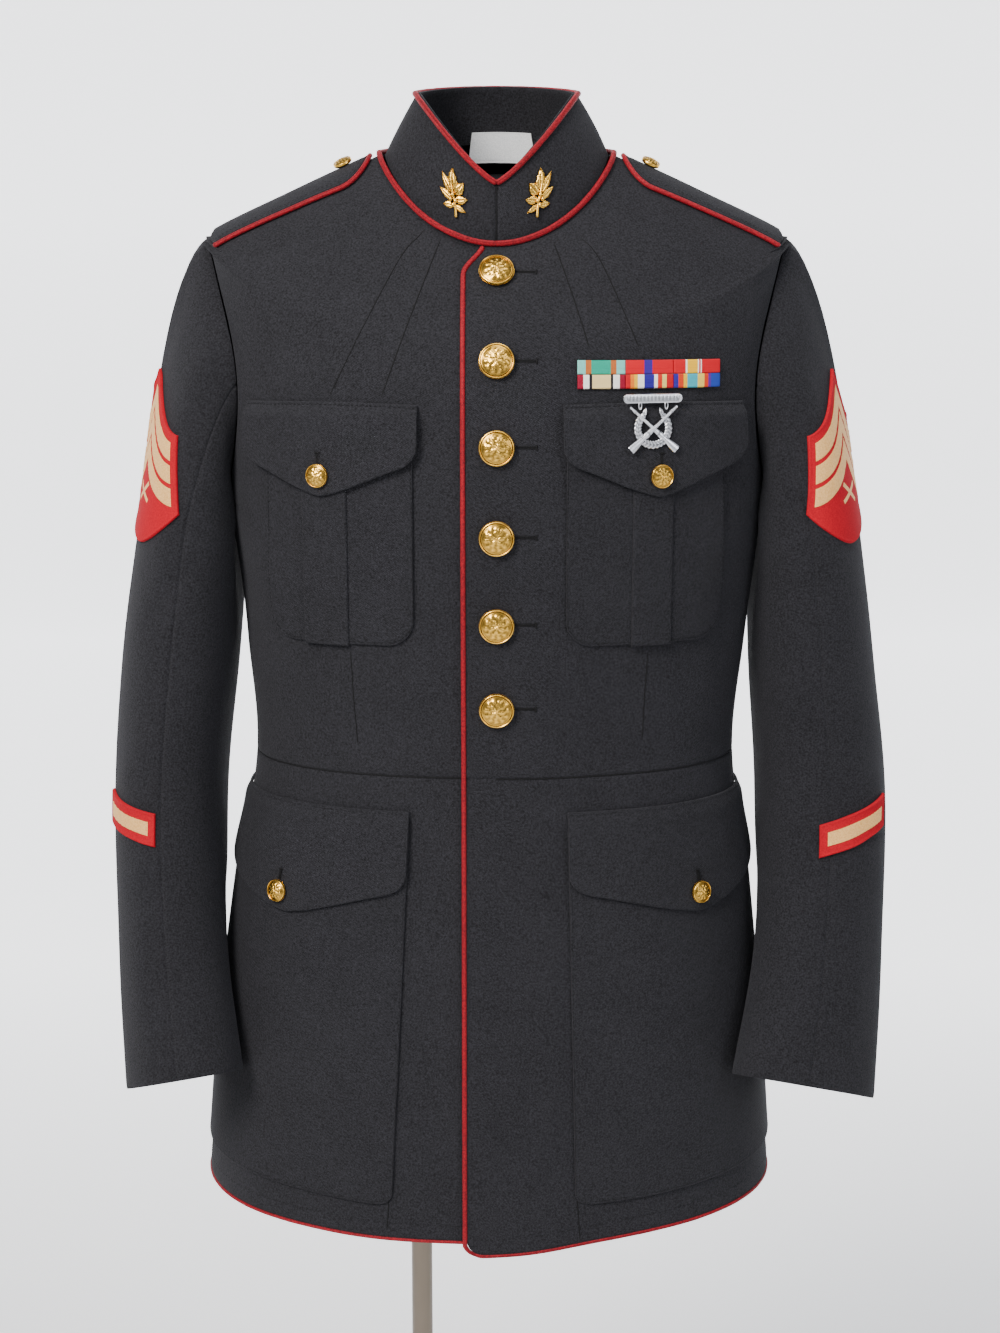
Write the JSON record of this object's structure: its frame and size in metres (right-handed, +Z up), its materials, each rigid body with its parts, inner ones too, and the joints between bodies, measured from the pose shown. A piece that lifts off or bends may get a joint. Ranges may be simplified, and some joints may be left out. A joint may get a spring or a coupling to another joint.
{
  "type": "military-style jacket on a dress form stand",
  "caption": "Stand-collar dress coat with corded edges, flapped patch pockets, gilt buttons and chevron sleeve patches, buttoned up on a limbless dress form with a pole and a round base.",
  "frame": {"origin": "centre of the bounding box on the floor, under the coat", "axes": "+Z up, the coat's front faces -Y, the wearer's left is towards +X"},
  "size_m": [0.6013, 0.3, 1.4988],
  "materials": {
    "wool": "matt fulled wool",
    "red_cord": "matt cord",
    "gilt_metal": "polished gilt",
    "silver_metal": "satin silver",
    "ribbon_cloth": "woven stripes",
    "red_felt": "felt with gold embroidery",
    "label_cloth": "plain woven label",
    "form_jersey": "matt jersey",
    "stand_steel": "satin"
  },
  "bodies": {
    "root": {"back_left": "wool", "back_right": "wool", "back_skirt_left": "wool", "back_skirt_right": "wool", "chest_button_left": "gilt_metal", "chest_button_right": "gilt_metal", "chest_flap_left": "wool", "chest_flap_right": "wool", "chest_pleat_left": "wool", "chest_pleat_right": "wool", "chest_pocket_left": "wool", "chest_pocket_right": "wool", "chevron_patch_left": "red_felt", "chevron_patch_right": "red_felt", "collar": "wool", "collar_ornament_left": "gilt_metal", "collar_ornament_right": "gilt_metal", "collar_top_cord": "red_cord", "dress_form": "form_jersey", "front_button_1": "gilt_metal", "front_button_2": "gilt_metal", "front_button_3": "gilt_metal", "front_button_4": "gilt_metal", "front_button_5": "gilt_metal", "front_button_6": "gilt_metal", "front_edge_cord": "red_cord", "front_left": "wool", "front_right": "wool", "hem_cord_left": "red_cord", "hem_cord_right": "red_cord", "lower_button_left": "gilt_metal", "lower_button_right": "gilt_metal", "lower_flap_left": "wool", "lower_flap_right": "wool", "lower_pocket_left": "wool", "lower_pocket_right": "wool", "neck_label": "label_cloth", "neck_seam_cord": "red_cord", "qualification_badge": "silver_metal", "ribbon_bar": "ribbon_cloth", "service_stripe_left": "red_felt", "service_stripe_right": "red_felt", "shoulder_strap_left": "wool", "shoulder_strap_right": "wool", "skirt_left": "wool", "skirt_right": "wool", "stand_base": "stand_steel", "stand_pole": "stand_steel", "strap_button_left": "gilt_metal", "strap_button_right": "gilt_metal", "strap_cord_left": "red_cord", "strap_cord_right": "red_cord", "top_sleeve_left": "wool", "top_sleeve_right": "wool", "under_sleeve_left": "wool", "under_sleeve_right": "wool"}
  },
  "joints": []
}
